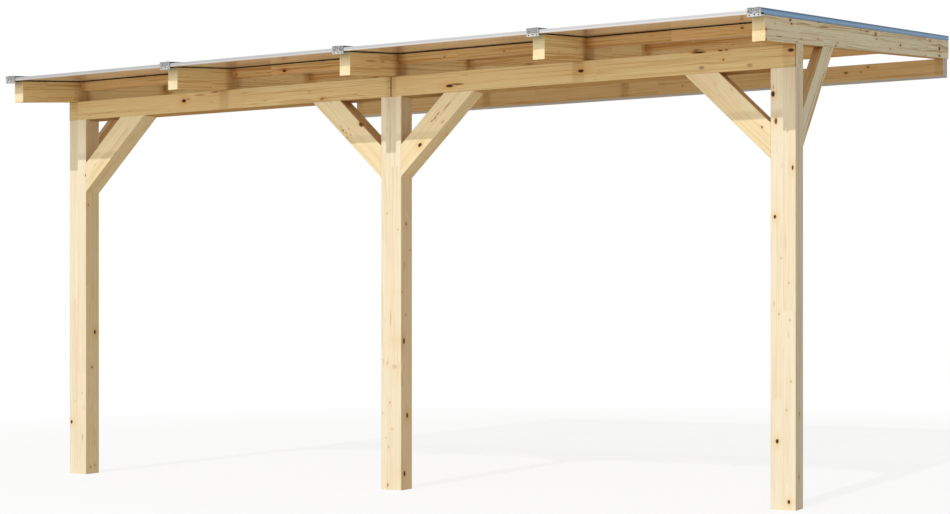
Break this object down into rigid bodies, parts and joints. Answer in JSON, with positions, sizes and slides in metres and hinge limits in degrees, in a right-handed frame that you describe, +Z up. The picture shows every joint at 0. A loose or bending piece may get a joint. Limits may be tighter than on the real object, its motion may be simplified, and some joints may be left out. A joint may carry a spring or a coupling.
{
  "type": "wooden pergola",
  "caption": "Timber lean-to pergola with posts, knee braces and rafters under clear twin-wall sheets in aluminium bars, fixed to a wall.",
  "frame": {"origin": "middle of the wall beams' back faces, where they bear on the house wall", "axes": "+X along the wall to the right seen from the garden, +Y out of the roof's back into the wall, +Z up"},
  "size_m": [4.304, 3.9423, 2.7024],
  "materials": {
    "spruce": "planed pale spruce, untreated, with small dark knots",
    "aluminium": "mill-finish extrusion",
    "clear_sheet": "clear glossy twin-wall sheet",
    "rubber": "matt black rubber"
  },
  "bodies": {
    "root": {"back_brace_left": "spruce", "back_brace_right": "spruce", "bar_end_stops": "aluminium", "base_gasket_1": "rubber", "base_gasket_2": "rubber", "base_gasket_3": "rubber", "base_gasket_4": "rubber", "base_gasket_5": "rubber", "batten_row_1": "spruce", "batten_row_2": "spruce", "batten_row_3": "spruce", "batten_row_4": "spruce", "batten_row_5": "spruce", "brace_left_post": "spruce", "brace_middle_post_left": "spruce", "brace_middle_post_right": "spruce", "brace_right_post": "spruce", "cap_seals": "rubber", "edge_strip_1": "aluminium", "edge_strip_2": "aluminium", "edge_strip_3": "aluminium", "edge_strip_4": "aluminium", "front_beam_left": "spruce", "front_beam_right": "spruce", "glazing_bar_1": "aluminium", "glazing_bar_2": "aluminium", "glazing_bar_3": "aluminium", "glazing_bar_4": "aluminium", "glazing_bar_5": "aluminium", "post_left": "spruce", "post_middle": "spruce", "post_right": "spruce", "rafter_1": "spruce", "rafter_2": "spruce", "rafter_3": "spruce", "rafter_4": "spruce", "rafter_5": "spruce", "roof_sheet_1": "clear_sheet", "roof_sheet_2": "clear_sheet", "roof_sheet_3": "clear_sheet", "roof_sheet_4": "clear_sheet", "wall_beam_left": "spruce", "wall_beam_right": "spruce"}
  },
  "joints": []
}
